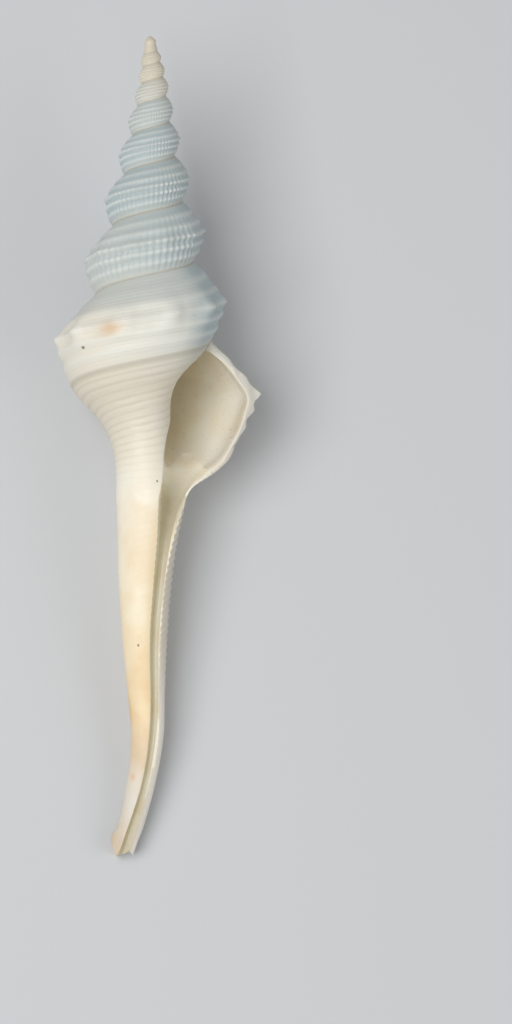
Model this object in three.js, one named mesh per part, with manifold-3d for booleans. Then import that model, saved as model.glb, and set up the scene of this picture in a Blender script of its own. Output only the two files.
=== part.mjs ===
// A spindle shell: a tall coiled spire, a knobbed body whorl with an open mouth, and a long open canal.
// The whole shell grew as one piece, so it is one closed solid: an outer coil, less the coiled
// chamber behind the mouth and the groove of the canal.
// Millimetres. The shell lies on its back with the mouth up, +Z up, the apex towards +Y.
import * as THREE from "three";
import { mergeVertices } from "three/addons/utils/BufferGeometryUtils.js";
import Module from "manifold-3d";

// Growth law. "drop" is the distance below the apex along the axis of coiling.
const SHELL_LENGTH = 150;
const FIRST_TURN = 2;
const LAST_TURN = 10;
const LIP_KEEL_RADIUS = 18.95;
const LIP_KEEL_DROP = 64.97;
const RADIUS_GROWTH = 1.47;
const RADIUS_OFFSET = 0.9;
const DROP_GROWTH = 1.328;
const DROP_OFFSET = 3.4;

// The apex leans to one side, and ends in a small blunt dome.
const APEX_LEAN = -0.85;
const APEX_LEAN_REACH = 5;
const DOME_RADIUS_SHARE = 0.8;
const DOME_DROP_SHARE = 0.35;

// Whorl profile: the seam between whorls, the ramp above the keel, and the side below it.
const KEEL_ACROSS = 0.5;
const SEAM_SHARE = 0.43;
const SEAM_RADIUS = 0.865;
const RAMP_STRAIGHTNESS = 0.5;
const SIDE_POWER = 0.8;

// Relief, as shares of the keel radius.
const CORDS_PER_WHORL = 6;
const CORD_HEIGHT = 0.022;
const KEEL_HEIGHT = 0.034;
const KNOBS_PER_TURN = 10;
const KNOB_SWING = 0.06;
const KNOB_SPREAD = 0.17;
const KNOB_START_TURN = 7;
const STRAIGHTENING_TURNS = 2;

// Radii of the base at a quarter, a half and three quarters of the way from the seam to the canal,
// from the turn before the lip round to the lip, every quarter turn.
const BASE_RADII = [
  [4.8, 3.6, 4.0],
  [7.8, 5.7, 5.6],
  [9.0, 6.7, 6.2],
  [12.4, 9.0, 7.0],
  [15.0, 12.0, 8.0],
];
const BASE_CORDS = 9;
const BASE_CORD_HEIGHT = 0.28;
const BASE_CORD_REACH = 1.4;

// The canal as stations of [drop, sideways, radius], and its groove as [drop, sideways, width].
const CANAL = [
  [84.8, 1.25, 6.35],
  [92, 0.75, 5.45],
  [100, 0.45, 4.8],
  [110, 0.6, 4.1],
  [120, 1.1, 3.4],
  [127, 1.5, 3.0],
  [133, 1.05, 2.75],
  [140, -0.15, 2.5],
  [150, -2.6, 2.25],
];
const GROOVE = [
  [78, 5.7, 3.0],
  [88.4, 4.4, 1.8],
  [110.3, 2.6, 1.65],
  [125, 2.7, 1.3],
  [136, 1.45, 1.05],
  [148, -2.1, 1.25],
  [151, -3.0, 1.3],
];
const GROOVE_FLOOR = -0.35;
const GROOVE_TOP = 9;

// The mouth's outline at the lip, as [drop, radius], down the columella and back up the outer wall.
const MOUTH = [
  [57.2, 10.7],
  [58.9, 9.2],
  [61.3, 6.5],
  [64.3, 4.6],
  [67.8, 3.7],
  [71.6, 3.4],
  [76, 3.8],
  [80.2, 4.5],
  [81.4, 5.8],
  [80.9, 7.6],
  [79.4, 10.6],
  [77.4, 13.2],
  [74.8, 15.0],
  [71.6, 16.6],
  [68.4, 17.6],
  [65.6, 18.0],
  [62.6, 16.1],
  [59.4, 13.4],
];
const CHAMBER_TURNS = 3.5;
const MOUTH_OVERRUN = 0.012;

// How the shell lies: rolled about its length, then tipped, until two knobs and the canal's tip touch.
const REST_ROLL_DEG = -4.9;
const REST_TIP_DEG = 9.72;

// Facets.
const STEPS_PER_TURN = 30;
const WHORL_ROWS = 12;
const BASE_ROWS = 18;
const CANAL_ROWS = 12;
const CHAMBER_STEPS_PER_TURN = 12;
const GROOVE_STEPS = 24;
const GROOVE_SIDES = 6;
const MERGE_DISTANCE = 1e-3;
const SEARCH_STEPS = 30;

const wasm = await Module();
wasm.setup();

const lerp = THREE.MathUtils.lerp;
const clamp01 = (t) => THREE.MathUtils.clamp(t, 0, 1);

// A smooth curve through evenly spaced values, read at t from 0 to 1.
function smoothThrough(values, t) {
  const place = clamp01(t) * (values.length - 1);
  const at = Math.min(Math.floor(place), values.length - 2);
  const value = (i) => values[THREE.MathUtils.clamp(i, 0, values.length - 1)];
  const [before, from, to, after] = [value(at - 1), value(at), value(at + 1), value(at + 2)];
  const u = place - at;
  const slopeFrom = (to - before) / 2;
  const slopeTo = (after - from) / 2;
  const bend = 2 * from - 2 * to + slopeFrom + slopeTo;
  const lean = -3 * from + 3 * to - 2 * slopeFrom - slopeTo;
  return ((bend * u + lean) * u + slopeFrom) * u + from;
}

// A smooth curve through stations of [drop, ...values], read at a drop.
function alongStations(stations, drop) {
  const curve = new THREE.CatmullRomCurve3(stations.map(([d, a, b]) => new THREE.Vector3(a, d, b)));
  let low = 0;
  let high = 1;
  for (let i = 0; i < SEARCH_STEPS; i++) {
    const middle = (low + high) / 2;
    if (curve.getPoint(middle).y < drop) low = middle;
    else high = middle;
  }
  const found = curve.getPoint((low + high) / 2);
  return [found.x, found.z];
}

const keelRadius = (turn) =>
  (LIP_KEEL_RADIUS - RADIUS_OFFSET) * RADIUS_GROWTH ** (turn - LAST_TURN) + RADIUS_OFFSET;
const keelDrop = (turn) =>
  (LIP_KEEL_DROP + DROP_OFFSET) * DROP_GROWTH ** (turn - LAST_TURN) - DROP_OFFSET;
const seamDrop = (turn) => lerp(keelDrop(turn), keelDrop(turn + 1), SEAM_SHARE);
const seamRadius = (turn) => SEAM_RADIUS * keelRadius(turn);
const angleOf = (turn) => 2 * Math.PI * (turn - LAST_TURN);
const apexLean = (drop) => APEX_LEAN * Math.exp(-((drop / APEX_LEAN_REACH) ** 2));

// A point at a drop, a radius and an angle about the axis, seen with the mouth towards +Z.
function coilPoint(turn, drop, radius, sideways = 0) {
  const angle = angleOf(turn);
  return new THREE.Vector3(
    sideways + apexLean(drop) + radius * Math.cos(angle),
    -drop,
    radius * Math.sin(angle),
  );
}

// Knobs on the keel of the later whorls, fading out up the spire.
function knobs(turn, across) {
  const strength = clamp01((turn - KNOB_START_TURN) / (LAST_TURN - KNOB_START_TURN));
  const wave = Math.cos(KNOBS_PER_TURN * 2 * Math.PI * (turn - LAST_TURN));
  const nearKeel = Math.exp(-(((across - KEEL_ACROSS) / KNOB_SPREAD) ** 2));
  return KNOB_SWING * strength * nearKeel * wave;
}

// Spiral cords across a whorl, the strongest on the keel.
function cords(across) {
  const wave = 0.5 + 0.5 * Math.cos(2 * Math.PI * CORDS_PER_WHORL * across);
  const onKeel = Math.exp(-(((across - KEEL_ACROSS) * CORDS_PER_WHORL) ** 2));
  return lerp(CORD_HEIGHT, KEEL_HEIGHT, onKeel) * wave;
}

// [drop, radius] on a whorl, from the seam above (across 0) over the keel (0.5) to the seam below (1).
function whorlProfile(turn, across) {
  const keel = keelRadius(turn);
  const straightness = RAMP_STRAIGHTNESS * clamp01((turn - KNOB_START_TURN) / STRAIGHTENING_TURNS);
  const upper = across < KEEL_ACROSS;
  const share = upper ? across / KEEL_ACROSS : (across - KEEL_ACROSS) / (1 - KEEL_ACROSS);
  const drop = upper
    ? lerp(seamDrop(turn - 1), keelDrop(turn), share)
    : lerp(keelDrop(turn), seamDrop(turn), share);
  const smooth = upper
    ? lerp(seamRadius(turn - 1), keel, lerp(Math.sin((share * Math.PI) / 2), share, straightness))
    : lerp(seamRadius(turn), keel, Math.cos((share * Math.PI) / 2) ** SIDE_POWER);
  const edge = Math.sqrt(Math.sin(Math.PI * across));
  return [drop, smooth + keel * edge * (cords(across) + knobs(turn, across))];
}

// [drop, radius, sideways] on the base of the last whorl, from its seam (share 0) to the canal (1).
function baseProfile(turn, share) {
  const drop = lerp(seamDrop(turn), CANAL[0][0], share);
  const round = turn - (LAST_TURN - 1);
  const middle = BASE_RADII[0].map((_, i) => smoothThrough(BASE_RADII.map((row) => row[i]), round));
  const smooth = smoothThrough([seamRadius(turn), ...middle, CANAL[0][2]], share);
  const wave = 0.5 - 0.5 * Math.cos(2 * Math.PI * BASE_CORDS * share);
  const fade = Math.sqrt(Math.sin(Math.PI * share)) * clamp01(BASE_CORD_REACH - share);
  return [drop, smooth + BASE_CORD_HEIGHT * wave * fade, CANAL[0][1] * share];
}

// Collects triangles of points into a closed solid.
function solidFrom(triangles) {
  const flat = triangles.flat().flatMap((p) => [p.x, p.y, p.z]);
  const geometry = new THREE.BufferGeometry();
  geometry.setAttribute("position", new THREE.Float32BufferAttribute(flat, 3));
  const merged = mergeVertices(geometry, MERGE_DISTANCE);
  const index = [];
  const source = merged.index.array;
  for (let i = 0; i < source.length; i += 3) {
    const [a, b, c] = [source[i], source[i + 1], source[i + 2]];
    if (a !== b && b !== c && a !== c) index.push(a, b, c);
  }
  return new wasm.Manifold(
    new wasm.Mesh({
      numProp: 3,
      vertProperties: merged.attributes.position.array,
      triVerts: new Uint32Array(index),
    }),
  );
}

// Two triangles for each cell between neighbouring lines of points.
function sheet(lines) {
  const triangles = [];
  for (let i = 0; i + 1 < lines.length; i++) {
    for (let j = 0; j + 1 < lines[i].length; j++) {
      const [a, b] = [lines[i][j], lines[i][j + 1]];
      const [c, d] = [lines[i + 1][j], lines[i + 1][j + 1]];
      triangles.push([a, c, b], [b, c, d]);
    }
  }
  return triangles;
}

// A fan of triangles from a centre to each stretch of an edge.
const fan = (centre, edge) => edge.slice(1).map((p, i) => [centre, edge[i], p]);

const reversed = (triangles) => triangles.map(([a, b, c]) => [a, c, b]);
const range = (count) => Array.from({ length: count + 1 }, (_, i) => i / count);

// One line of points across a whorl, from seam to seam.
const whorlLine = (turn) =>
  range(WHORL_ROWS).map((across) => coilPoint(turn, ...whorlProfile(turn, across)));

// One line of points down the base and the canal of the last whorl.
function baseLine(turn) {
  const base = range(BASE_ROWS).map((share) => coilPoint(turn, ...baseProfile(turn, share)));
  const canal = range(CANAL_ROWS).slice(1).map((share) => {
    const drop = lerp(CANAL[0][0], SHELL_LENGTH, share);
    const [sideways, radius] = alongStations(CANAL, drop);
    return coilPoint(turn, drop, radius, sideways);
  });
  return [...base, ...canal];
}

// The outer form: the spiral band of whorls, the base with the canal, the lip's face and both ends.
function outerSolid() {
  const turns = [];
  const steps = (LAST_TURN - FIRST_TURN) * STEPS_PER_TURN;
  for (let i = 0; i <= steps; i++) turns.push(FIRST_TURN + i / STEPS_PER_TURN);
  const whorlLines = turns.map(whorlLine);
  const baseLines = turns.slice(-STEPS_PER_TURN - 1).map(baseLine);

  const firstTop = whorlLines.slice(0, STEPS_PER_TURN + 1).map((line) => line[0]);
  const nucleus = [...firstTop, ...whorlLines[0].slice().reverse()];
  const apex = new THREE.Vector3(APEX_LEAN, 0, 0);
  const toDome = new THREE.Vector3(DOME_RADIUS_SHARE, DOME_DROP_SHARE, DOME_RADIUS_SHARE);
  const dome = nucleus.map((p) => p.clone().sub(apex).multiply(toDome).add(apex));

  const lipOuter = [...whorlLines.at(-1), ...baseLines.at(-1).slice(1, BASE_ROWS)];
  const lipInner = baseLines[0].slice(0, BASE_ROWS + 1);
  const lipLoop = [...lipOuter, ...lipInner.slice(1).reverse()];
  const flat = lipLoop.map((p) => new THREE.Vector2(p.x, p.y));
  const lipFace = THREE.ShapeUtils.triangulateShape(flat, []).map((t) => t.map((i) => lipLoop[i]));

  const tipRing = baseLines.map((line) => line.at(-1));
  const [tipSideways] = alongStations(CANAL, SHELL_LENGTH);
  const tip = new THREE.Vector3(tipSideways, -SHELL_LENGTH, 0);

  return solidFrom([
    ...sheet(whorlLines),
    ...sheet(baseLines),
    ...sheet([nucleus, dome]),
    ...reversed(fan(apex, dome)),
    ...lipFace,
    ...fan(tip, tipRing),
  ]);
}

// A closed solid through a row of loops, each with the same number of points.
function loft(loops) {
  const closed = loops.map((loop) => [...loop, loop[0]]);
  const centre = (loop) =>
    loop.reduce((sum, p) => sum.add(p), new THREE.Vector3()).divideScalar(loop.length);
  const solid = solidFrom([
    ...sheet(closed),
    ...fan(centre(loops[0]), closed[0]),
    ...reversed(fan(centre(loops.at(-1)), closed.at(-1))),
  ]);
  return solid;
}

// The chamber: the mouth's outline wound back up the coil, shrinking by the growth law.
function chamberSolid() {
  const loops = [];
  const steps = Math.round(CHAMBER_TURNS * CHAMBER_STEPS_PER_TURN);
  for (let i = 0; i <= steps; i++) {
    const turn = LAST_TURN + MOUTH_OVERRUN - i / CHAMBER_STEPS_PER_TURN;
    const radiusScale = keelRadius(turn) / LIP_KEEL_RADIUS;
    const dropScale = DROP_GROWTH ** (turn - LAST_TURN);
    loops.push(
      MOUTH.map(([drop, radius]) =>
        coilPoint(turn, (drop + DROP_OFFSET) * dropScale - DROP_OFFSET, radius * radiusScale),
      ),
    );
  }
  return loft(loops);
}

// The canal's groove: a round-bottomed slot that opens towards the viewer of the mouth.
function grooveSolid() {
  const loops = range(GROOVE_STEPS).map((share) => {
    const drop = lerp(GROOVE[0][0], GROOVE.at(-1)[0], share);
    const [sideways, width] = alongStations(GROOVE, drop);
    const [, radius] = alongStations(CANAL, Math.min(drop, SHELL_LENGTH));
    const floor = GROOVE_FLOOR * radius + width / 2;
    const bottom = range(GROOVE_SIDES).map((u) => [
      (-Math.cos(Math.PI * u) * width) / 2,
      floor - (Math.sin(Math.PI * u) * width) / 2,
    ]);
    const outline = [[-width / 2, GROOVE_TOP], ...bottom, [width / 2, GROOVE_TOP]].reverse();
    return outline.map(([x, z]) => new THREE.Vector3(sideways + x, -drop, z));
  });
  return loft(loops);
}

function meshOf(solid, name, material) {
  const { vertProperties, triVerts } = solid.getMesh();
  const geometry = new THREE.BufferGeometry();
  geometry.setAttribute("position", new THREE.BufferAttribute(vertProperties, 3));
  geometry.setIndex(new THREE.BufferAttribute(triVerts, 1));
  const mesh = new THREE.Mesh(geometry, material);
  mesh.name = name;
  return mesh;
}

const shellWhite = new THREE.MeshStandardMaterial({ color: 0xe9e3d5, roughness: 0.55, metalness: 0 });
const shellSolid = outerSolid().subtract(chamberSolid()).subtract(grooveSolid());
const shell = meshOf(shellSolid, "spindle_shell", shellWhite);

// Lay the shell down, then bring the middle of its resting side to the origin.
const lying = new THREE.Group();
lying.rotation.x = THREE.MathUtils.degToRad(REST_TIP_DEG);
lying.rotation.y = THREE.MathUtils.degToRad(REST_ROLL_DEG);
lying.add(shell);
lying.updateMatrixWorld(true);
const box = new THREE.Box3().setFromObject(lying, true);
const middle = box.getCenter(new THREE.Vector3());
lying.position.set(-middle.x, -middle.y, -box.min.z);

const part = new THREE.Group();
part.add(lying);

export default part;
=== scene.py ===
# %% [markdown]
# # A spindle shell
# The shell is one natural piece: a hollow cone that was wound into a coil as the animal grew, with a long
# open canal at its foot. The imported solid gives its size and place. This script builds the fine surface
# over the same growth law, cuts the hollow out of it, and gives it the finish of old white shell.

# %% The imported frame
import functools
import math

import bmesh
import bpy
from mathutils import Matrix, Vector


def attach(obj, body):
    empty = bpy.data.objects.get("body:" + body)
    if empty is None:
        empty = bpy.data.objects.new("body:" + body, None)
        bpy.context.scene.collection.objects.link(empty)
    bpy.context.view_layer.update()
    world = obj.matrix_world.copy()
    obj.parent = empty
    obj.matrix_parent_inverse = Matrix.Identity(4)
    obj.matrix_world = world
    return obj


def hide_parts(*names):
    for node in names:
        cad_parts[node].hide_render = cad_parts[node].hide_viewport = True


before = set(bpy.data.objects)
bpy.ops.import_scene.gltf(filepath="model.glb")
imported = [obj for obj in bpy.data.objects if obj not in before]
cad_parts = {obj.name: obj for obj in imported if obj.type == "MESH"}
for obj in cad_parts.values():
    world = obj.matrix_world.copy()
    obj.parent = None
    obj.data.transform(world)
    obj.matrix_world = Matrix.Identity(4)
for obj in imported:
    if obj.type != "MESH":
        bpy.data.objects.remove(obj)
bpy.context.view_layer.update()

# %% [markdown]
# ## The growth law
# A snail adds shell at the lip, and each turn is a larger copy of the one before. So a few numbers describe
# the whole coil: how much wider and how much longer each turn gets. "drop" is the distance from the apex
# along the axis, in millimetres, and "turn" counts the whorls, with the lip at turn 10.

# %% Growth law
MM = 0.001
FIRST_TURN = 1.75
LAST_TURN = 10
SHELL_LENGTH = 150
LIP_KEEL_RADIUS = 18.95
LIP_KEEL_DROP = 64.97
RADIUS_GROWTH = 1.47
RADIUS_OFFSET = 0.9
DROP_GROWTH = 1.328
DROP_OFFSET = 3.4
SEAM_SHARE = 0.43
SEAM_RADIUS = 0.865
APEX_LEAN = -0.85
APEX_LEAN_REACH = 5


def lerp(a, b, t):
    return a + (b - a) * t


def clamp01(t):
    return min(1.0, max(0.0, t))


def smoothstep(low, high, x):
    t = clamp01((x - low) / (high - low))
    return t * t * (3 - 2 * t)


def bell(x, middle, width):
    return math.exp(-(((x - middle) / width) ** 2))


@functools.cache
def keel_radius(turn):
    return (LIP_KEEL_RADIUS - RADIUS_OFFSET) * RADIUS_GROWTH ** (turn - LAST_TURN) + RADIUS_OFFSET


@functools.cache
def keel_drop(turn):
    return (LIP_KEEL_DROP + DROP_OFFSET) * DROP_GROWTH ** (turn - LAST_TURN) - DROP_OFFSET


def seam_drop(turn):
    return lerp(keel_drop(turn), keel_drop(turn + 1), SEAM_SHARE)


def seam_radius(turn):
    return SEAM_RADIUS * keel_radius(turn)


def coil_point(turn, drop, radius, sideways=0.0):
    """A point round the axis, with the apex towards +Y and the mouth towards +Z."""
    angle = 2 * math.pi * (turn - LAST_TURN)
    lean = APEX_LEAN * bell(drop, 0, APEX_LEAN_REACH)
    return Vector((sideways + lean + radius * math.cos(angle), -drop, radius * math.sin(angle)))


print("keel radius by turn:", [round(keel_radius(t), 1) for t in range(2, LAST_TURN + 1)])

# %% [markdown]
# ## The relief of a whorl
# Seen from a step away, a whorl has spiral cords, the strongest on the keel, where the side turns in. Fine
# threads left by each stop in growth cross them, so the cords look beaded, and the later whorls have round
# knobs on the keel. All of it is a height over the smooth whorl. It could be a displacement texture, but
# as geometry it shows at the outline and goes into the exported mesh.

# %% Whorl relief
KEEL_ACROSS = 0.5
SIDE_POWER = 0.8
RAMP_STRAIGHTNESS = 0.5
STRAIGHTENING_TURNS = 2
CORD_HEIGHT = 0.022
CORD_WIDTH = 0.05
CORD_STRENGTHS = (0.75, 0.85, 1.45, 1.2, 1.0)
SPIRE_CORD_GAIN = 1.3
SPIRE_GAIN_UNTIL = 7
LIP_TOOTH_GAIN = 0.8
LIP_TOOTH_TURNS = 0.1
KNOBS_PER_TURN = 10
KNOB_SWING = 0.06
KNOB_SPREAD = 0.17
KNOB_START_TURN = 7
KNOB_SHARPNESS = 1.5
KNOB_VALLEY = 0.6
THREADS_PER_TURN = 50
THREAD_HEIGHT = 0.009
BEADING = 0.3
THREADS_FADE = (8.92, 9.12)
THREADED_ACROSS = (0.3, 0.7)


def knob_wave(turn):
    rise = (0.5 + 0.5 * math.cos(KNOBS_PER_TURN * 2 * math.pi * (turn - LAST_TURN))) ** KNOB_SHARPNESS
    return rise * (1 + KNOB_VALLEY) - KNOB_VALLEY


def thread_wave(turn):
    return math.cos(THREADS_PER_TURN * 2 * math.pi * turn)


def lip_teeth(turn):
    """How much the cords gain at the edge of the lip, where they end as teeth."""
    return LIP_TOOTH_GAIN * smoothstep(LAST_TURN - LIP_TOOTH_TURNS, LAST_TURN, turn)


def whorl_relief(turn, across):
    """Height over the smooth whorl as a share of the keel radius."""
    spire = 1 - smoothstep(*THREADS_FADE, turn)
    thread = thread_wave(turn) * spire
    cords = 0.0
    for index, strength in enumerate(CORD_STRENGTHS, 1):
        place = index / (len(CORD_STRENGTHS) + 1)
        cords += strength * CORD_HEIGHT * bell(across, place, CORD_WIDTH)
    cords *= 1 + SPIRE_CORD_GAIN * (1 - smoothstep(SPIRE_GAIN_UNTIL, LAST_TURN, turn)) + lip_teeth(turn)
    growth = clamp01((turn - KNOB_START_TURN) / (LAST_TURN - KNOB_START_TURN))
    knobs = KNOB_SWING * growth * knob_wave(turn) * bell(across, KEEL_ACROSS, KNOB_SPREAD)
    threads = THREAD_HEIGHT * thread * smoothstep(*THREADED_ACROSS, across)
    edge = math.sqrt(max(0.0, math.sin(math.pi * across)))
    return edge * (cords * (1 + BEADING * thread) + knobs + threads)


def whorl_form(turn, across):
    """(drop, radius) from the seam above (across 0) over the keel to the seam below (1)."""
    keel = keel_radius(turn)
    if across < KEEL_ACROSS:
        share = across / KEEL_ACROSS
        straightness = RAMP_STRAIGHTNESS * clamp01((turn - KNOB_START_TURN) / STRAIGHTENING_TURNS)
        drop = lerp(seam_drop(turn - 1), keel_drop(turn), share)
        swell = lerp(math.sin(share * math.pi / 2), share, straightness)
        radius = lerp(seam_radius(turn - 1), keel, swell)
    else:
        share = (across - KEEL_ACROSS) / (1 - KEEL_ACROSS)
        drop = lerp(keel_drop(turn), seam_drop(turn), share)
        swell = max(0.0, math.cos(share * math.pi / 2)) ** SIDE_POWER
        radius = lerp(seam_radius(turn), keel, swell)
    return drop, radius + keel * whorl_relief(turn, across)


print("knob height at the lip in mm:", round(KNOB_SWING * LIP_KEEL_RADIUS, 2))

# %% [markdown]
# ## The coiled band
# One flat grid becomes the whole spire. Its columns run round the coil and its rows run across a whorl, and
# every vertex moves to its place on the growth law. The lower edge of each turn is the upper edge of the
# next, so merging doubles sews the seams. Modelling whorl by whorl would leave gaps there. The UV map
# keeps each corner's turn and place across the whorl, so the finish can follow the coil later.

# %% Coiled band
STEPS_PER_TURN = 200
WHORL_ROWS = 30
CROWDED_COLUMNS = 6
CROWDING = 1.8
LIP_ROUND_TURNS = 0.008
LIP_ROUND = 0.4
GRID_HALF = 0.5
COIL_MAP = "coil"


def column_turn(step):
    """The turn of a column. Columns crowd together just before the lip's angle, to round the lip."""
    whole, part = divmod(step, STEPS_PER_TURN)
    left = STEPS_PER_TURN - part
    if part and left < CROWDED_COLUMNS:
        left = CROWDED_COLUMNS * (left / CROWDED_COLUMNS) ** CROWDING
    return whole + 1 - left / STEPS_PER_TURN if part else float(whole)


def lip_inset(turn):
    """How far the surface turns in at the very edge of the lip, in mm."""
    near = clamp01((turn - (LAST_TURN - LIP_ROUND_TURNS)) / LIP_ROUND_TURNS)
    return LIP_ROUND * (1 - math.sqrt(1 - near * near))


def mapped_grid(mesh, columns, rows, place):
    """Adds a grid and moves each vertex to place(column, row), which gives (point, turn, across)."""
    coil = mesh.loops.layers.uv.get(COIL_MAP) or mesh.loops.layers.uv.new(COIL_MAP)
    made = bmesh.ops.create_grid(mesh, x_segments=columns, y_segments=rows, size=GRID_HALF)["verts"]
    marks = {}
    for vert in made:
        column = round((vert.co.x + GRID_HALF) * columns)
        row = round((vert.co.y + GRID_HALF) * rows)
        point, turn, across = place(column, row)
        vert.co = point
        marks[vert] = (turn, across)
    for face in {face for vert in made for face in vert.link_faces}:
        for loop in face.loops:
            loop[coil].uv = marks[loop.vert]
    return made


def whorl_place(column, row):
    turn = column_turn(round(FIRST_TURN * STEPS_PER_TURN) + column)
    across = row / WHORL_ROWS
    drop, radius = whorl_form(turn, across)
    inset = lip_inset(turn) * math.sqrt(across)
    return coil_point(turn, drop, radius - inset), turn, across


shell_mesh = bmesh.new()
mapped_grid(shell_mesh, round((LAST_TURN - FIRST_TURN) * STEPS_PER_TURN), WHORL_ROWS, whorl_place)
print("coiled band:", len(shell_mesh.faces), "faces")

# %% [markdown]
# ## Curves through a few points
# The base and the canal change shape along their length, and a few measured points say how. These two
# functions draw a smooth curve through such points. A curve object could do that too, but a function can
# be read at every vertex of a grid without evaluating an object.

# %% Curves
def smooth_through(values, t):
    """A smooth curve through evenly spaced values, read at t from 0 to 1."""
    place = clamp01(t) * (len(values) - 1)
    at = min(int(place), len(values) - 2)
    before, start = values[max(at - 1, 0)], values[at]
    end, after = values[at + 1], values[min(at + 2, len(values) - 1)]
    u = place - at
    slope_start = (end - before) / 2
    slope_end = (after - start) / 2
    bend = 2 * start - 2 * end + slope_start + slope_end
    lean = -3 * start + 3 * end - 2 * slope_start - slope_end
    return ((bend * u + lean) * u + slope_start) * u + start


def along(stations, drop):
    """The values of the stations at a drop, on a smooth curve."""
    last = len(stations) - 1
    at = max(i for i in range(last) if i == 0 or stations[i][0] <= drop)
    reach = stations[at + 1][0] - stations[at][0]
    u = clamp01((drop - stations[at][0]) / reach)

    def slope(i, value):
        low, high = stations[max(i - 1, 0)], stations[min(i + 1, last)]
        return (high[value] - low[value]) / (high[0] - low[0]) * reach

    found = []
    for value in range(1, len(stations[0])):
        start, end = stations[at][value], stations[at + 1][value]
        blend = u * u * (3 - 2 * u)
        ease = slope(at, value) * u * (1 - u) ** 2 - slope(at + 1, value) * u * u * (1 - u)
        found.append(lerp(start, end, blend) + ease)
    return found


print("a curve through 0, 1 and 4, read halfway:", smooth_through((0, 1, 4), 0.5))

# %% [markdown]
# ## The base
# Below its last seam the body whorl draws in to the columella, the pillar that the coil winds round. The
# base is narrow where it starts, inside the mouth, and wide where it ends, at the outer lip, so its radii
# change every quarter turn. Its cords wander and fade a little, as on the real shell, where no two are
# alike. Even waves would look turned on a lathe.

# %% Base
BASE_RADII = (
    (4.8, 3.6, 4.0),
    (7.8, 5.7, 5.6),
    (9.0, 6.7, 6.2),
    (12.4, 9.0, 7.0),
    (15.0, 12.0, 8.0),
)
CANAL = (
    (84.8, 1.25, 6.35),
    (92, 0.75, 5.45),
    (100, 0.45, 4.8),
    (110, 0.6, 4.1),
    (120, 1.1, 3.4),
    (127, 1.5, 3.0),
    (133, 1.05, 2.75),
    (140, -0.15, 2.5),
    (150, -2.6, 2.25),
)
BASE_CORDS = 18
BASE_CORD_HEIGHT = 0.155
BASE_CORD_SHARPNESS = 1.5
BASE_CORD_GAINS = (1.15, 0.4)
CORD_WANDER = 0.16
WANDERS_ROUND = 7
WANDERS_DOWN = 2
BASE_CORD_FADE = 0.25
FADES_ROUND = 3
FADES_DOWN = 5
CALLUS_HEIGHT = 0.3
CALLUS_WIDTH = 0.018
GLAZE_TURNS = 0.13


def base_form(turn, share):
    """(drop, radius, sideways) from the last seam (share 0) to the canal (1)."""
    drop = lerp(seam_drop(turn), CANAL[0][0], share)
    round_share = turn - (LAST_TURN - 1)
    middle = [smooth_through([row[i] for row in BASE_RADII], round_share) for i in range(3)]
    smooth = smooth_through([seam_radius(turn), *middle, CANAL[0][2]], share)
    wander = CORD_WANDER * math.sin(2 * math.pi * (WANDERS_ROUND * round_share + WANDERS_DOWN * share))
    wave = (0.5 - 0.5 * math.cos(2 * math.pi * (BASE_CORDS * share + wander))) ** BASE_CORD_SHARPNESS
    faded = math.sin(2 * math.pi * (FADES_ROUND * round_share + FADES_DOWN * share))
    wave *= 1 - BASE_CORD_FADE + BASE_CORD_FADE * faded
    ends = math.sqrt(max(0.0, math.sin(math.pi * share)))
    glazed = smoothstep(0, GLAZE_TURNS, round_share)
    strength = lerp(*BASE_CORD_GAINS, share) * (1 + lip_teeth(turn))
    cords = BASE_CORD_HEIGHT * wave * ends * glazed * strength
    callus = CALLUS_HEIGHT * bell(round_share, 0, CALLUS_WIDTH) * ends
    inset = lip_inset(turn) * (1 - share)
    return drop, smooth + cords + callus - inset, CANAL[0][1] * share


print("base at the outer lip, halfway down, in mm:", [round(v, 2) for v in base_form(LAST_TURN, 0.5)])

# %% [markdown]
# ## The canal
# The base runs out into the long canal, which wanders from side to side, so it follows a few stations of
# drop, sideways and radius. Slanting cords run round its upper part, and its worn end has two prongs. Base
# and canal are one grid, one turn round, from the inner lip to the outer lip, so no seam shows between.

# %% Canal
BASE_ROWS = 70
CANAL_ROWS = 96
CORDED_ROWS = 76
CORDED_LENGTH = 34
CANAL_CORD_PITCH = 1.36
CANAL_CORD_SLANT = 8
CANAL_CORD_HEIGHT = 0.04
CANAL_CORDS_START = (84.8, 86.8)
CANAL_CORDS_END = (99.8, 126)
LIP_CORD_GAIN = 3
TIP_REACH = 6
TIP_OUTLINE = ((-1, 3.2), (-0.55, 0), (-0.2, 1.6), (0.25, 1.9), (0.85, 0.4), (1, 1.2))


def canal_drop(row):
    """Rows crowd together on the upper canal, where the cords still show."""
    if row <= CORDED_ROWS:
        return CANAL[0][0] + CORDED_LENGTH * row / CORDED_ROWS
    share = (row - CORDED_ROWS) / (CANAL_ROWS - CORDED_ROWS)
    return lerp(CANAL[0][0] + CORDED_LENGTH, SHELL_LENGTH, share)


def tip_short(side):
    """How far the broken end of the canal falls short, from its left side (-1) to its right (1), in mm."""
    for (left, start), (right, end) in zip(TIP_OUTLINE, TIP_OUTLINE[1:]):
        if side <= right:
            return lerp(start, end, clamp01((side - left) / (right - left)))
    return TIP_OUTLINE[-1][1]


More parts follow.
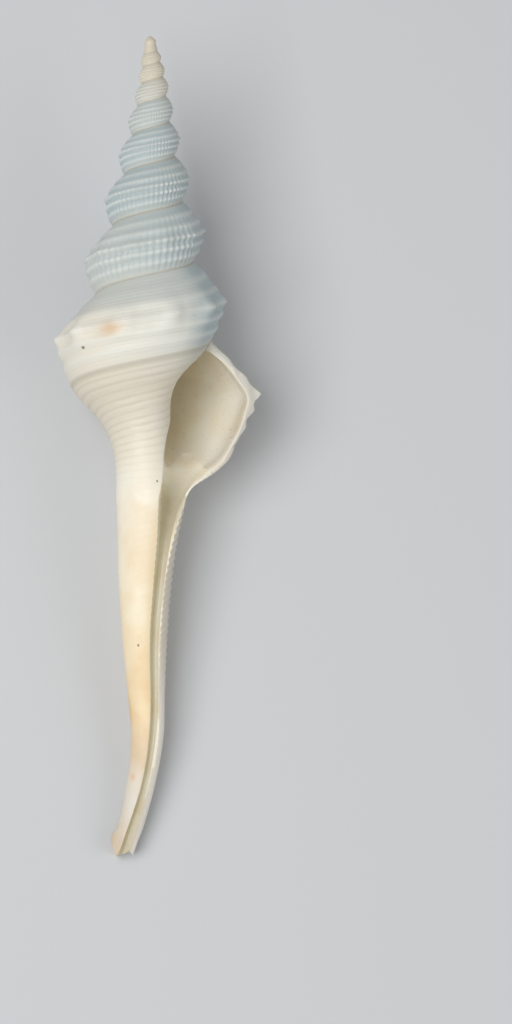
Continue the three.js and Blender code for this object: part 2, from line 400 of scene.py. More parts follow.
def canal_form(turn, drop):
    """(drop, radius, sideways) on the canal, with its fine cords and its two-pronged end."""
    sideways, radius = along(CANAL, drop)
    round_share = turn - (LAST_TURN - 1)
    angle = 2 * math.pi * round_share
    started = smoothstep(*CANAL_CORDS_START, drop)
    strength = CANAL_CORD_HEIGHT * started * (1 - smoothstep(*CANAL_CORDS_END, drop))
    strength *= 1 + LIP_CORD_GAIN * max(0.0, math.cos(angle)) ** 2
    wave = math.cos(2 * math.pi * (drop / CANAL_CORD_PITCH - CANAL_CORD_SLANT * round_share))
    to_tip = smoothstep(SHELL_LENGTH - TIP_REACH, SHELL_LENGTH, drop)
    return drop - to_tip * tip_short(math.cos(angle)), radius + strength * wave, sideways


def base_place(column, row):
    turn = column_turn((LAST_TURN - 1) * STEPS_PER_TURN + column)
    if row <= BASE_ROWS:
        share = row / BASE_ROWS
        return coil_point(turn, *base_form(turn, share)), turn, 1 + share
    drop = canal_drop(row - BASE_ROWS)
    canal_share = (drop - CANAL[0][0]) / (SHELL_LENGTH - CANAL[0][0])
    return coil_point(turn, *canal_form(turn, drop)), turn, 2 + canal_share


mapped_grid(shell_mesh, STEPS_PER_TURN, BASE_ROWS + CANAL_ROWS, base_place)
print("with base and canal:", len(shell_mesh.faces), "faces")

# %% [markdown]
# ## Closing the ends
# Three holes are left: the small round tip of the spire, the flat face of the lip, and the end of the
# canal. The apex is a blunt dome of turns too small to tell apart, so a third grid rises from the edge of
# the first turn and shrinks to a point, with a ripple for each small whorl. The lip's face and the canal's
# end are only filled with triangles, because the mouth and the groove take most of both away later.

# %% Closed ends
APEX = Vector((APEX_LEAN, 0, 0))
DOME_RINGS = 10
DOME_WHORLS = 2
DOME_RIPPLE = 0.13
DOME_ACROSS = 0.25
WELD = 0.002
first_seam = [whorl_place(column, 0)[0] for column in range(STEPS_PER_TURN + 1)]
first_edge = [whorl_place(0, row)[0] for row in range(WHORL_ROWS)]
apex_rim = first_seam + first_edge[::-1]


def dome_place(column, row):
    out = apex_rim[column] - APEX
    angle = row / DOME_RINGS * math.pi / 2
    ripple = 1 + DOME_RIPPLE * math.sin(2 * angle) * math.cos(4 * DOME_WHORLS * angle)
    wide, low = math.cos(angle) * ripple, 1 - math.sin(angle)
    return APEX + Vector((out.x * wide, out.y * low, out.z * wide)), FIRST_TURN, DOME_ACROSS


def closed(mesh, name):
    """Welds doubles, fills what is still open, and turns every face outwards."""
    bmesh.ops.remove_doubles(mesh, verts=mesh.verts, dist=WELD)
    bmesh.ops.holes_fill(mesh, edges=[e for e in mesh.edges if e.is_boundary], sides=0)
    bmesh.ops.triangulate(mesh, faces=[f for f in mesh.faces if len(f.verts) > 4])
    bmesh.ops.recalc_face_normals(mesh, faces=mesh.faces)
    loose = sum(not e.is_manifold for e in mesh.edges)
    print(name, "has", len(mesh.faces), "faces,", loose, "open edges and",
          round(mesh.calc_volume() / 1000, 2), "cm3")


mapped_grid(shell_mesh, len(apex_rim) - 1, DOME_RINGS, dome_place)
closed(shell_mesh, "outer form")

# %% [markdown]
# ## The hollow
# Behind the mouth the chamber winds back up the coil. The mouth's outline, drawn once, is carried back
# along the growth law as a tube. It is a closed solid, and a Boolean takes it out of the outer form later.
# Modelling the wall's two sides by hand would need a matching row for every cord. The outer wall flares
# at its edge, so the cut leaves a thin, rounded lip.

# %% Chamber
MOUTH = (
    (57.2, 10.7),
    (58.9, 9.2),
    (61.3, 6.5),
    (64.3, 4.6),
    (67.8, 3.7),
    (71.6, 3.4),
    (76, 3.8),
    (80.2, 4.5),
    (81.4, 5.8),
    (80.9, 7.6),
    (79.4, 10.6),
    (77.4, 13.2),
    (74.8, 15.0),
    (71.6, 16.6),
    (68.4, 17.6),
    (65.6, 18.0),
    (62.6, 16.1),
    (59.4, 13.4),
)
OUTER_WALL_START = (8, 10)
OUTER_WALL_END = (16.5, 17.7)
MOUTH_POINTS = 72
MOUTH_OVERRUN = 0.012
CHAMBER_TURNS = 1.7
CHAMBER_STEPS = 84
FLARE = 0.6
FLARE_TURNS = 0.016
NEARBY = 0.05


def closed_curve(points, place):
    """A point on a smooth closed curve through points. place counts the points passed."""
    at = math.floor(place)
    u = place - at
    p0, p1, p2, p3 = (Vector(points[(at + i) % len(points)]) for i in (-1, 0, 1, 2))
    return 0.5 * (2 * p1 + (p2 - p0) * u + (2 * p0 - 5 * p1 + 4 * p2 - p3) * u**2
                  + (3 * p1 - p0 - 3 * p2 + p3) * u**3)


def chamber_place(column, row):
    """The first column stands just outside the lip, and the others crowd together behind it."""
    back = CHAMBER_TURNS * ((column - 1) / (CHAMBER_STEPS - 1)) ** 2 if column else -MOUTH_OVERRUN
    turn = LAST_TURN - back
    place = row / MOUTH_POINTS * len(MOUTH)
    edge = closed_curve(MOUTH, place)
    ahead = closed_curve(MOUTH, place + NEARBY) - closed_curve(MOUTH, place - NEARBY)
    outwards = Vector((ahead.y, -ahead.x)).normalized()
    outer = smoothstep(*OUTER_WALL_START, place) * (1 - smoothstep(*OUTER_WALL_END, place))
    near = clamp01(1 - max(back, 0) / FLARE_TURNS)
    edge += outwards * FLARE * outer * (1 - math.sqrt(1 - near * near))
    drop = (edge.x + DROP_OFFSET) * DROP_GROWTH**-back - DROP_OFFSET
    radius = edge.y * keel_radius(turn) / LIP_KEEL_RADIUS
    return coil_point(turn, drop, radius), back, row / MOUTH_POINTS


chamber_mesh = bmesh.new()
mapped_grid(chamber_mesh, CHAMBER_STEPS, MOUTH_POINTS, chamber_place)
closed(chamber_mesh, "chamber")

# %% [markdown]
# ## The groove
# The canal is a tube that stays open along its front. Its groove starts as a wide hollow in the foot of
# the mouth and narrows to a slit, with a steep inner wall and a sloping outer bank. The cutter is a grid
# rolled into a closed tube: two walls, a round bed and a lid above the shell. A curve object with a bevel
# would do for an even groove, but here the width and the depth change on the way down.

# %% Groove
# Stations of drop, sideways and width in mm, and the floor's height as a share of the canal's radius.
GROOVE = (
    (67, 7.5, 4.0, -0.9),
    (72, 7.0, 5.8, -1.3),
    (76, 6.85, 6.7, -1.24),
    (77.5, 6.95, 7.0, -0.97),
    (79, 7.05, 7.3, -0.74),
    (81, 6.3, 5.8, -0.52),
    (83, 5.6, 4.6, -0.34),
    (85, 5.05, 3.6, -0.18),
    (88, 4.5, 2.7, 0.04),
    (92, 4.05, 2.0, 0.28),
    (100, 3.25, 1.5, 0.47),
    (110.3, 2.6, 1.3, 0.52),
    (125, 2.75, 1.1, 0.5),
    (136, 1.4, 0.95, 0.45),
    (148, -2.1, 1.15, 0.25),
    (152, -3.3, 1.2, 0.15),
)
GROOVE_TOP = 9
GROOVE_STEPS = 120
GROOVE_SIDE_ROWS = 9
GROOVE_BED_ROWS = 8
GROOVE_ROWS = 2 * GROOVE_SIDE_ROWS + GROOVE_BED_ROWS + 1
BRINK_ABOVE = 0.5
WALL_TOP = 0.25
WIDEST = 0.95
# How far each wall leans out and how deep the leaning starts, as shares of the canal's radius.
INNER_FLARE = (0.06, 0.18)
OUTER_FLARE = (0.32, 0.8)
FLARE_LIMIT = 1.7
# The groove's first UV value takes the place of the turns back from the lip, and so picks its colour on the
# inside ramp. The darker value on the groove's left wall is painted shade, and the right wall keeps the
# pale value.
SHADED_WALL_MARK = 0.3
PALE_MARK = 0.08
HEAD_MARK = 0.12
HEAD_END = (77, 86)


def groove_side(side, share, half, bed, surface, canal_radius):
    """(sideways, height) on one wall, from above the canal (share 0) down to the round bed (1)."""
    brink = surface + BRINK_ABOVE
    if share < WALL_TOP:
        height = lerp(GROOVE_TOP, brink, share / WALL_TOP)
    else:
        height = lerp(brink, bed, (share - WALL_TOP) / (1 - WALL_TOP))
    reach, depth = (canal_radius * value for value in (INNER_FLARE if side < 0 else OUTER_FLARE))
    near = max(0.0, (height - surface + depth) / depth)
    flare = reach * min(near, FLARE_LIMIT) ** 2
    return side * (half + flare), height


def groove_place(column, row):
    drop = lerp(GROOVE[0][0], GROOVE[-1][0], column / GROOVE_STEPS)
    sideways, width, floor = along(GROOVE, drop)
    canal_middle, canal_radius = along(CANAL, min(max(drop, CANAL[0][0]), SHELL_LENGTH))
    row %= GROOVE_ROWS
    half = width / 2
    bed = floor * canal_radius + half
    turned = row - GROOVE_SIDE_ROWS
    if 0 <= turned <= GROOVE_BED_ROWS:
        angle = math.pi * turned / GROOVE_BED_ROWS
        x, z = -half * math.cos(angle), bed - half * math.sin(angle)
    else:
        side = -1 if turned < 0 else 1
        past_bed = turned - GROOVE_BED_ROWS
        share = 1 + turned / GROOVE_SIDE_ROWS if side < 0 else 1 - past_bed / GROOVE_SIDE_ROWS
        beside = min(abs(sideways + side * half - canal_middle), WIDEST * canal_radius)
        surface = math.sqrt(canal_radius**2 - beside**2)
        x, z = groove_side(side, share, half, bed, surface, canal_radius)
    to_right = smoothstep(GROOVE_SIDE_ROWS + 1, GROOVE_SIDE_ROWS + GROOVE_BED_ROWS, row)
    below = smoothstep(*HEAD_END, drop)
    mark = lerp(HEAD_MARK, lerp(SHADED_WALL_MARK, PALE_MARK, to_right), below)
    return Vector((sideways + x, -drop, z)), mark, 1 + below


groove_mesh = bmesh.new()
mapped_grid(groove_mesh, GROOVE_STEPS, GROOVE_ROWS, groove_place)
closed(groove_mesh, "groove")

# %% [markdown]
# ## Cutting and laying down
# The Boolean's Manifold solver is quick and exact on closed meshes like these. The cut faces come from the
# two tools, so they carry the tools' material: slot 0 is the outside and slot 1 the glazed inside. The
# shell was modelled upright along its axis, so one matrix then rolls and tips it on its back, as the
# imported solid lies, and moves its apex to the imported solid's apex.

# %% Cutting
REST_ROLL = math.radians(-4.9)
REST_TIP = math.radians(9.72)
OUTSIDE_SLOT = 0
INSIDE_SLOT = 1
SHARP_EDGE = math.radians(55)


def as_object(mesh, name, slot):
    """A mesh object with all its faces in one material slot."""
    for face in mesh.faces:
        face.material_index = slot
    data = bpy.data.meshes.new(name)
    mesh.to_mesh(data)
    mesh.free()
    made = bpy.data.objects.new(name, data)
    bpy.context.scene.collection.objects.link(made)
    return made


outside = bpy.data.materials.new("shell_outside")
inside = bpy.data.materials.new("shell_inside")
shell = as_object(shell_mesh, "shell", OUTSIDE_SLOT)
tools = [
    as_object(chamber_mesh, "chamber_tool", INSIDE_SLOT),
    as_object(groove_mesh, "groove_tool", INSIDE_SLOT),
]
for made in [shell, *tools]:
    made.data.materials.append(outside)
    made.data.materials.append(inside)
for tool in tools:
    cut = shell.modifiers.new(tool.name, "BOOLEAN")
    cut.operation = "DIFFERENCE"
    cut.solver = "MANIFOLD"
    cut.object = tool
evaluated = shell.evaluated_get(bpy.context.evaluated_depsgraph_get())
cut_mesh = bpy.data.meshes.new_from_object(evaluated)
shell.modifiers.clear()
shell.data = cut_mesh
for tool in tools:
    bpy.data.objects.remove(tool)

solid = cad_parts["spindle_shell"]
solid_apex = max((solid.matrix_world @ v.co for v in solid.data.vertices), key=lambda co: co.y)
lying = Matrix.Rotation(REST_TIP, 4, "X") @ Matrix.Rotation(REST_ROLL, 4, "Y")
place = Matrix.Translation(solid_apex - lying @ APEX * MM) @ lying
shell.data.transform(place @ Matrix.Scale(MM, 4))
shell.data.shade_smooth()
shell.data.set_sharp_from_angle(angle=SHARP_EDGE)
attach(shell, "root")
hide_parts("spindle_shell")
shell.data.calc_loop_triangles()
inner = sum(p.material_index == INSIDE_SLOT for p in shell.data.polygons)
lowest = min(v.co.z for v in shell.data.vertices) / MM
print("cut shell:", len(shell.data.loop_triangles), "triangles,", inner, "inside faces")
print("lowest point in mm:", round(lowest, 3))

# %% [markdown]
# ## Shader shorthand
# Both finishes use the same few nodes: sums, smooth steps, mixes and colour ramps. Adding and linking each
# by hand takes many lines, so these functions do it. The masks read the coil's UV map, which says how far
# round and how far across a point is, so a mark stays on its cord or its seam.

# %% Shader helpers
GRAIN_SPAN = (0.3, 0.7)
BUMP_DISTANCE = 0.0001
SCATTER_RADIUS = (1.0, 0.9, 0.75)
SCATTER_SCALE = 0.0012


def tone(red, green, blue):
    """A colour as it shows on a screen, from 0 to 255, as the linear values that a shader takes."""
    shown = [c / 255 for c in (red, green, blue)]
    return [c / 12.92 if c <= 0.04045 else ((c + 0.055) / 1.055) ** 2.4 for c in shown] + [1.0]


def add(tree, kind, inputs=(), **settings):
    """Adds a node, sets its own settings, and sets or links its inputs by name or number."""
    node = tree.nodes.new(kind)
    for name, value in settings.items():
        setattr(node, name, value)
    for key, value in dict(inputs).items():
        if isinstance(value, bpy.types.NodeSocket):
            tree.links.new(value, node.inputs[key])
        else:
            node.inputs[key].default_value = value
    return node


def maths(tree, operation, *values):
    return add(tree, "ShaderNodeMath", dict(enumerate(values)), operation=operation).outputs[0]


def ranged(tree, value, low, high, start=0.0, end=1.0):
    """The value, moved smoothly from start to end between low and high."""
    inputs = {"Value": value, "From Min": low, "From Max": high, "To Min": start, "To Max": end}
    return add(tree, "ShaderNodeMapRange", inputs, interpolation_type="SMOOTHSTEP").outputs[0]


def ranged_line(tree, value, low, high):
    return add(tree, "ShaderNodeMapRange", {"Value": value, "From Min": low, "From Max": high}).outputs[0]


def mixed(tree, factor, first, second, blend="MIX"):
    """Mixes two colours. The colour mix of this node has its colours on inputs 6 and 7."""
    inputs = {0: factor, 6: first, 7: second}
    return add(tree, "ShaderNodeMix", inputs, data_type="RGBA", blend_type=blend).outputs[2]


def product(tree, first, *others):
    for other in others:
        first = maths(tree, "MULTIPLY", first, other)
    return first


def waves(tree, kind, value, count):
    """A sine or cosine with count waves for each whole step of the value."""
    return maths(tree, kind, product(tree, value, 2 * math.pi * count))


def ramp(tree, value, low, high, stops):
    """A colour that runs through stops of (place, colour) as the value goes from low to high."""
    node = add(tree, "ShaderNodeValToRGB", {0: ranged_line(tree, value, low, high)})
    elements = node.color_ramp.elements
    while len(elements) < len(stops):
        elements.new(0.5)
    for element, (spot, colour) in zip(elements, stops):
        element.position = (spot - low) / (high - low)
        element.color = colour
    return node.outputs[0]


def coil_values(tree):
    """The turn and the place across the whorl, or on the inside the turns back from the lip."""
    node = add(tree, "ShaderNodeSeparateXYZ", {0: add(tree, "ShaderNodeUVMap", uv_map=COIL_MAP).outputs[0]})
    return node.outputs[0], node.outputs[1]


def bell_mask(tree, value, middle, width):
    """1 at the middle, falling to 0 at the width on both sides."""
    away = maths(tree, "ABSOLUTE", maths(tree, "SUBTRACT", value, middle))
    return ranged(tree, away, 0.0, width, 1.0, 0.0)


def spot_mask(tree, turn, across, spot):
    """A soft spot, given as its turn, its place across and its reach in both."""
    round_mask = bell_mask(tree, turn, spot[0], spot[2])
    return maths(tree, "MULTIPLY", round_mask, bell_mask(tree, across, spot[1], spot[3]))


def dress(material, colour, grain, height, roughness, bump_strength, scatter):
    """Links a finish to the material's own shader, with a little light passing through the shell."""
    tree = material.node_tree
    shader = tree.nodes["Principled BSDF"]
    tree.links.new(colour, shader.inputs["Base Color"])
    tree.links.new(ranged(tree, grain, *GRAIN_SPAN, *roughness), shader.inputs["Roughness"])
    relief = {"Strength": bump_strength, "Distance": BUMP_DISTANCE, "Height": height}
    tree.links.new(add(tree, "ShaderNodeBump", relief).outputs[0], shader.inputs["Normal"])
    shader.inputs["Subsurface Weight"].default_value = scatter
    shader.inputs["Subsurface Radius"].default_value = SCATTER_RADIUS
    shader.inputs["Subsurface Scale"].default_value = SCATTER_SCALE


print("screen white in a shader:", tone(255, 255, 255))

# %% [markdown]
# ## Mottling, shared by both finishes
# Old shell is never one colour: it clouds over in soft patches and its surface has a fine grain. Outside
# and inside both need that, so it is a node group, built once. It reads Object coordinates, so the clouds
# are as large on the canal as on the whorls.

# %% Mottling group
CLOUD_SPAN = (0.35, 0.65)


def build_mottling():
    group = bpy.data.node_groups.new("shell mottling", "ShaderNodeTree")
    group.interface.new_socket("Cloud Scale", in_out="INPUT", socket_type="NodeSocketFloat")
    group.interface.new_socket("Grain Scale", in_out="INPUT", socket_type="NodeSocketFloat")
    group.interface.new_socket("Cloud", in_out="OUTPUT", socket_type="NodeSocketFloat")
    group.interface.new_socket("Grain", in_out="OUTPUT", socket_type="NodeSocketFloat")
    given = group.nodes.new("NodeGroupInput")
    result = group.nodes.new("NodeGroupOutput")
    where = add(group, "ShaderNodeTexCoord").outputs["Object"]
    cloud = add(group, "ShaderNodeTexNoise", {"Vector": where, "Scale": given.outputs["Cloud Scale"],
                                              "Detail": 3.0, "Roughness": 0.5, "Distortion": 0.4})
    grain = add(group, "ShaderNodeTexNoise", {"Vector": where, "Scale": given.outputs["Grain Scale"],
                                              "Detail": 4.0, "Roughness": 0.6})
    group.links.new(ranged(group, cloud.outputs[0], *CLOUD_SPAN), result.inputs["Cloud"])
    group.links.new(grain.outputs[0], result.inputs["Grain"])
    return group


mottling = build_mottling()


def mottled(tree, cloud_scale, grain_scale):
    node = add(tree, "ShaderNodeGroup", node_tree=mottling)
    node.inputs["Cloud Scale"].default_value = cloud_scale
    node.inputs["Grain Scale"].default_value = grain_scale
    return node.outputs["Cloud"], node.outputs["Grain"]


print("mottling group:", len(mottling.nodes), "nodes")

# %% [markdown]
# ## The ground colour of the outside
# The apex is worn cream, the spire is thin and shows blue-grey between whiter cords, and the body whorl,
# where the wall is thick, is white. The base turns to warm cream on the canal. These change along the
# coil, so two colour ramps follow the UV map's turn and place across. Painting a texture would also do,
# but ramps stay sharp at any distance. Spans below are (from, to) in turns or across.

# %% Ground colour
SPIRE_STOPS = (
    (1.75, tone(212, 203, 185)),
    (3.8, tone(212, 204, 187)),
    (4.8, tone(194, 199, 196)),
    (6.2, tone(180, 191, 192)),
    (8.0, tone(176, 189, 191)),
    (8.6, tone(200, 205, 202)),
    (8.85, tone(188, 198, 198)),
    (9.1, tone(168, 184, 188)),
    (9.16, tone(222, 224, 217)),
    (9.22, tone(228, 228, 219)),
    (9.4, tone(232, 226, 211)),
    (10.0, tone(228, 223, 210)),
)
BASE_STOPS = (
    (1.0, tone(232, 222, 202)),
    (1.35, tone(226, 219, 203)),
    (1.8, tone(242, 238, 224)),
    (2.0, tone(248, 241, 224)),
    (2.35, tone(248, 235, 206)),
    (2.6, tone(244, 222, 182)),
    (2.72, tone(230, 215, 192)),
    (2.85, tone(224, 218, 206)),
    (3.0, tone(218, 206, 190)),
)
BASE_ACROSS = (1.0, 3.0)
BASE_BLEND = (0.8, 1.3)
CORD_WHITE = tone(232, 234, 228)
CORD_WHITENING = 0.35
CORD_SHARPNESS = 2.0
WHORL_END = (0.96, 1.02)
SEAM_TAN_AND_SHADE = tone(150, 138, 112)
SEAM_WIDTH = 0.05
SEAM_STRENGTH = 0.4
SHOULDER_GREY = tone(194, 199, 196)
SHOULDER_ACROSS = (0.2, 0.44)
SHOULDER_TURNS = (9.0, 9.2)
SHOULDER_STRENGTH = 0.75
GAP_TAN_AND_SHADE = tone(206, 196, 174)
GAPS_START = (1.0, 1.05)
GAPS_END = (1.4, 1.95)
GAP_STRENGTH = 0.32


def ground_colour(tree, turn, across):
    spire = ramp(tree, turn, FIRST_TURN, LAST_TURN, SPIRE_STOPS)
    base = ramp(tree, across, *BASE_ACROSS, BASE_STOPS)
    colour = mixed(tree, ranged(tree, across, *BASE_BLEND), spire, base)

    wave = waves(tree, "COSINE", across, len(CORD_STRENGTHS) + 1)
    on_cord = maths(tree, "POWER", maths(tree, "MULTIPLY_ADD", wave, 0.5, 0.5), CORD_SHARPNESS)
    on_whorl = ranged(tree, across, *WHORL_END, CORD_WHITENING, 0.0)
    colour = mixed(tree, product(tree, on_cord, on_whorl), colour, CORD_WHITE)

    # The seams between whorls darken towards tan: partly the shell's own brownish line, partly painted
    # shade in the crease.
    upper_seam, lower_seam = (bell_mask(tree, across, edge, SEAM_WIDTH) for edge in (0.0, 1.0))
    seam = product(tree, maths(tree, "MAXIMUM", upper_seam, lower_seam), SEAM_STRENGTH)
    colour = mixed(tree, seam, colour, SEAM_TAN_AND_SHADE)

    above_keel = ranged(tree, across, *SHOULDER_ACROSS, SHOULDER_STRENGTH, 0.0)
    shoulder = product(tree, above_keel, ranged(tree, turn, *SHOULDER_TURNS))
    colour = mixed(tree, shoulder, colour, SHOULDER_GREY)

    # The gaps between the base cords darken: partly the shell's warm tint, partly painted shade in the
    # grooves between the cords.
    gap = ranged(tree, waves(tree, "COSINE", across, BASE_CORDS), 0.0, 1.0)
    gap = product(tree, gap, ranged(tree, across, *GAPS_START))
    gap = product(tree, gap, ranged(tree, across, *GAPS_END, GAP_STRENGTH, 0.0))
    return mixed(tree, gap, colour, GAP_TAN_AND_SHADE)


print("ground colour:", len(SPIRE_STOPS), "stops on the spire and", len(BASE_STOPS), "on the base")

# %% [markdown]
# ## Marks and painted light on the outside
# Age leaves marks on the ground colour: warm clouds on the canal, orange stains, a tan strip beside the
# inner lip, a grey edge to the lip and a few dark specks. Painted light goes in with them: a painted
# highlight on the knobs, painted shade on the right side of the canal and painted light lower down on it.
# Each is a colour mixed in where a mask of turn and across is high, so one can be moved without touching
# the others.

# %% Marks
CLOUD_WARM = tone(238, 212, 168)
CLOUD_ACROSS = (1.2, 2.5)
CLOUD_STRENGTHS = (0.05, 0.42)
KNOB_HIGHLIGHT = tone(246, 246, 238)
KNOB_REACH = 0.16
KNOB_TURNS = (8.9, 9.2)
KNOB_HIGHLIGHT_STRENGTH = 0.45
STRIP_TAN = tone(232, 206, 160)
STRIP_ACROSS = (1.4, 2.1)
STRIP_TURNS = (9.04, 9.2)
STRIP_WIDTH = 0.05
STRIP_START = (1.3, 1.6)
STRIP_STRENGTH = 0.4
RIM_INNER_TURNS = (9.1, 9.16)
RIM_OUTER_TURNS = (9.75, 9.9)
RIM_SHADE = tone(210, 207, 198)
RIM_ACROSS = (1.9, 2.1)
RIM_STRENGTH = 0.75
LOW_RIM_LIGHT = tone(246, 241, 230)
LOW_RIM_ACROSS = (2.35, 2.62)
LOW_RIM_STRENGTH = 0.8
LIP_GREY = tone(197, 194, 184)
LIP_TURNS = (9.95, 10.0)
LIP_STRENGTH = 0.85
STAIN_ORANGE = tone(226, 178, 118)
STAIN_STRENGTH = 0.55
SPECK_BROWN = tone(70, 58, 42)
# Spots are given as turn, across, and the reach in both.
STAINS = (
    (9.322, 0.56, 0.045, 0.14),
    (9.358, 2.775, 0.06, 0.018),
    (9.47, 2.6, 0.07, 0.08),
)
SPECKS = (
    (9.387, 0.71, 0.006, 0.025),
    (9.214, 1.865, 0.008, 0.012),
    (9.294, 2.406, 0.012, 0.006),
)


def rim_light_and_lip(tree, colour, turn, across):
    """Painted shade on the canal's right side, painted light lower down on it, and the lip's grey edge."""
    inner_side = ranged(tree, turn, *RIM_INNER_TURNS, 1.0, 0.0)
    right = maths(tree, "MAXIMUM", inner_side, ranged(tree, turn, *RIM_OUTER_TURNS))
    # Painted shade: the canal's right side, turned away from the key lamp, is mixed towards grey.
    rim = product(tree, right, ranged(tree, across, *RIM_ACROSS, 0.0, RIM_STRENGTH))
    colour = mixed(tree, rim, colour, RIM_SHADE)
    # Painted light: lower down, that side is lightened towards white.
    low_rim = product(tree, right, ranged(tree, across, *LOW_RIM_ACROSS, 0.0, LOW_RIM_STRENGTH))
    colour = mixed(tree, low_rim, colour, LOW_RIM_LIGHT)
    return mixed(tree, ranged(tree, turn, *LIP_TURNS, 0.0, LIP_STRENGTH), colour, LIP_GREY)


def marked_colour(tree, colour, cloud, turn, across):
    warm = product(tree, cloud, ranged(tree, across, *CLOUD_ACROSS, *CLOUD_STRENGTHS))
    colour = mixed(tree, warm, colour, CLOUD_WARM, "MULTIPLY")
    # Painted highlight: the tops of the knobs on the body whorl are lightened towards white.
    knob = ranged(tree, waves(tree, "COSINE", turn, KNOBS_PER_TURN), 0.0, 1.0)
    knob = product(tree, knob, bell_mask(tree, across, KEEL_ACROSS, KNOB_REACH))
    knob = product(tree, knob, ranged(tree, turn, *KNOB_TURNS, 0.0, KNOB_HIGHLIGHT_STRENGTH))
    colour = mixed(tree, knob, colour, KNOB_HIGHLIGHT)
    for spot in STAINS:
        stain = product(tree, spot_mask(tree, turn, across, spot), STAIN_STRENGTH)
        colour = mixed(tree, stain, colour, STAIN_ORANGE)
    strip_turn = ranged(tree, across, *STRIP_ACROSS, *STRIP_TURNS)
    strip = bell_mask(tree, maths(tree, "SUBTRACT", turn, strip_turn), 0.0, STRIP_WIDTH)
    strip = product(tree, strip, ranged(tree, across, *STRIP_START, 0.0, STRIP_STRENGTH))
    colour = mixed(tree, strip, colour, STRIP_TAN)
    colour = rim_light_and_lip(tree, colour, turn, across)
    for spot in SPECKS:
        colour = mixed(tree, spot_mask(tree, turn, across, spot), colour, SPECK_BROWN)
    return colour


print("marks:", len(STAINS), "stains and", len(SPECKS), "specks")

# %% [markdown]
# ## The outside finish
# Growth lines and spiral threads that are too small for the mesh are a bump. As geometry they would take
# several times the triangles and would hardly show at the outline.

# %% Outside finish
OUTSIDE_SCALES = (90.0, 900.0)
OUTSIDE_ROUGHNESS = (0.42, 0.6)
OUTSIDE_BUMP = 0.35
OUTSIDE_SCATTER = 0.2
GROWTH_LINES = 150
GROWTH_LINE_STRENGTH = 0.1
SPIRAL_LINES = 24
SPIRAL_TURNS = (8.8, 9.1)
SPIRAL_STRENGTHS = (0.12, 0.36)


def finish_outside(material):
    material.use_nodes = True
    tree = material.node_tree
    turn, across = coil_values(tree)
    cloud, grain = mottled(tree, *OUTSIDE_SCALES)
    colour = ground_colour(tree, turn, across)
    colour = marked_colour(tree, colour, cloud, turn, across)
    growth = product(tree, waves(tree, "SINE", turn, GROWTH_LINES), GROWTH_LINE_STRENGTH)
    spiral = waves(tree, "SINE", across, SPIRAL_LINES)
    spiral = product(tree, spiral, ranged(tree, turn, *SPIRAL_TURNS, *SPIRAL_STRENGTHS))
    height = maths(tree, "ADD", maths(tree, "ADD", growth, spiral), grain)
    dress(material, colour, grain, height, OUTSIDE_ROUGHNESS, OUTSIDE_BUMP, OUTSIDE_SCATTER)


finish_outside(outside)
print("outside finish:", len(outside.node_tree.nodes), "nodes")

# %% [markdown]
# ## The inside
# The animal lines the mouth with a smooth glaze. It is pale at the lip and darkens to olive-brown with how
# far
# back each point is: partly the glaze's own colour, partly painted shade where the chamber turns out of
# sight.
# Shadow alone would leave the depth too pale, because white walls pass light on to each other.

# %% Inside finish
DEPTH_STOPS = (
    (0.0, tone(226, 221, 208)),
    (0.05, tone(250, 245, 233)),
    (0.2, tone(250, 243, 222)),
    (0.27, tone(238, 227, 174)),
    (0.36, tone(208, 192, 108)),
    (0.5, tone(130, 110, 56)),
)
GROOVE_SHADE = tone(208, 201, 180)
GLAZE_WARM = tone(240, 222, 186)
DEPTH_SPAN = (0.0, 0.5)
GROOVE_ACROSS = (1.0, 2.0)
GROOVE_STRENGTH = 0.7
GLAZE_STRENGTH = 0.3
INSIDE_SCALES = (140.0, 700.0)
INSIDE_ROUGHNESS = (0.26, 0.38)
INSIDE_BUMP = 0.1
INSIDE_SCATTER = 0.15


def finish_inside(material):
    material.use_nodes = True
    tree = material.node_tree
    back, row = coil_values(tree)
    cloud, grain = mottled(tree, *INSIDE_SCALES)
    # Partly painted shade: the colour darkens with the turns back from the lip.
    colour = ramp(tree, back, *DEPTH_SPAN, DEPTH_STOPS)
    # Painted shade: the groove down the canal is mixed towards a darker grey, for the shade in the slit.
    colour = mixed(tree, ranged(tree, row, *GROOVE_ACROSS, 0.0, GROOVE_STRENGTH), colour, GROOVE_SHADE)
    colour = mixed(tree, product(tree, cloud, GLAZE_STRENGTH), colour, GLAZE_WARM, "MULTIPLY")
    dress(material, colour, grain, grain, INSIDE_ROUGHNESS, INSIDE_BUMP, INSIDE_SCATTER)


finish_inside(inside)
print("inside finish:", len(inside.node_tree.nodes), "nodes")

# %% [markdown]
# ## Floor, light and camera
# The shell lies on a plain pale floor. A large soft lamp stands in front, to the left, and a weaker one
# fills from the right, as in a product photograph. The camera looks straight into the mouth from far away
# with a long lens, so the far end of the canal isn't drawn smaller, and it rolls a little because the axis
# of the shell leans in the picture.

# %% Stage
IMAGE_PX = (512, 1024)
SHELL_PX = 821
PX_MM = SHELL_LENGTH / SHELL_PX
AXIS_TOP_PX = (154.1, 36)
AXIS_LEAN = math.radians(1.22)
SENSOR_MM = 36
LENS_MM = 200
CLIP_END = 10
FLOOR_SIZE = 3.0
FLOOR_ROUGHNESS = 0.8
FLOOR_GREY = tone(203, 205, 207)
LAMP_AIM = (0, -70, 0)
LAMP_DISTANCE = 0.9
LAMP_SIZE = 0.6
KEY_TOWARDS = (-0.42, 0.05, 1.0)
KEY_WATTS = 5.85
FILL_TOWARDS = (1.0, -0.3, 0.8)
FILL_WATTS = 1.5
SKY_STRENGTH = 0.34


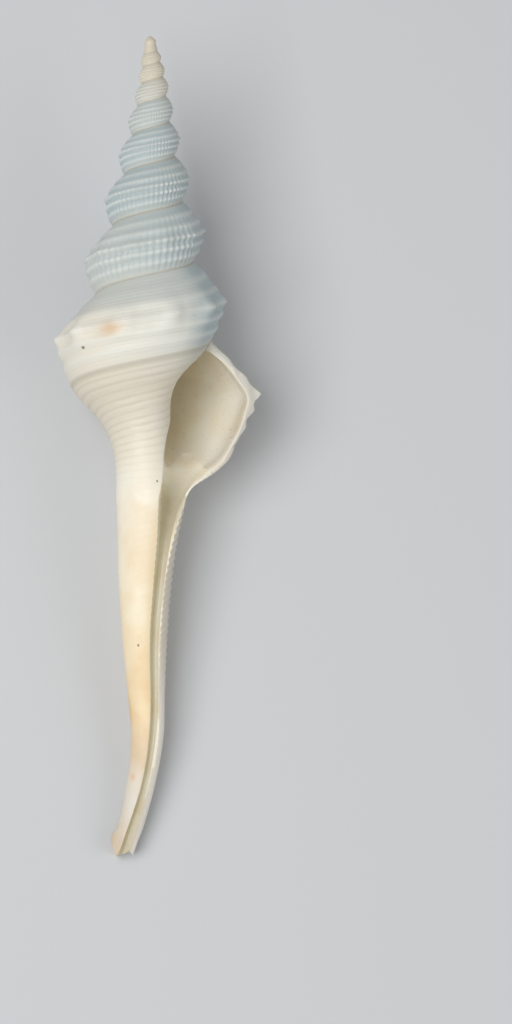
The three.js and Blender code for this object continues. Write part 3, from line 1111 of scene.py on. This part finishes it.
def floor_plane():
    mesh = bmesh.new()
    bmesh.ops.create_grid(mesh, x_segments=1, y_segments=1, size=FLOOR_SIZE / 2)
    data = bpy.data.meshes.new("floor")
    mesh.to_mesh(data)
    mesh.free()
    made = bpy.data.objects.new("floor", data)
    bpy.context.scene.collection.objects.link(made)
    paper = bpy.data.materials.new("floor_paper")
    paper.use_nodes = True
    shader = paper.node_tree.nodes["Principled BSDF"]
    shader.inputs["Base Color"].default_value = FLOOR_GREY
    shader.inputs["Roughness"].default_value = FLOOR_ROUGHNESS
    data.materials.append(paper)


def soft_lamp(name, towards, watts):
    """A square lamp in the shell's own directions: right, up along the axis, and out of the mouth."""
    lamp = bpy.data.lights.new(name, "AREA")
    lamp.size = LAMP_SIZE
    lamp.energy = watts
    made = bpy.data.objects.new(name, lamp)
    bpy.context.scene.collection.objects.link(made)
    aim = place @ (Vector(LAMP_AIM) * MM)
    made.location = aim + (lying.to_3x3() @ Vector(towards)).normalized() * LAMP_DISTANCE
    made.rotation_euler = (aim - made.location).to_track_quat("-Z", "Y").to_euler()


def photo_camera():
    data = bpy.data.cameras.new("camera")
    data.lens = LENS_MM
    data.sensor_fit = "VERTICAL"
    data.sensor_height = SENSOR_MM
    data.clip_end = CLIP_END
    made = bpy.data.objects.new("camera", data)
    bpy.context.scene.collection.objects.link(made)
    right = (IMAGE_PX[0] / 2 - AXIS_TOP_PX[0]) * PX_MM
    down = (IMAGE_PX[1] / 2 - AXIS_TOP_PX[1]) * PX_MM
    away = IMAGE_PX[1] * PX_MM * LENS_MM / SENSOR_MM
    roll = Matrix.Rotation(AXIS_LEAN, 4, "Z")
    seen = roll @ Matrix.Translation(Vector((right, -down, away)) * MM)
    made.matrix_world = place @ seen
    bpy.context.scene.camera = made
    return made


floor_plane()
soft_lamp("key", KEY_TOWARDS, KEY_WATTS)
soft_lamp("fill", FILL_TOWARDS, FILL_WATTS)
sky = bpy.context.scene.world or bpy.data.worlds.new("sky")
bpy.context.scene.world = sky
sky.use_nodes = True
background = sky.node_tree.nodes["Background"]
background.inputs["Color"].default_value = (1, 1, 1, 1)
background.inputs["Strength"].default_value = SKY_STRENGTH
bpy.context.scene.view_settings.view_transform = "Standard"
camera = photo_camera()
print("camera is", round((camera.location - place.translation).length, 3), "m from the apex")
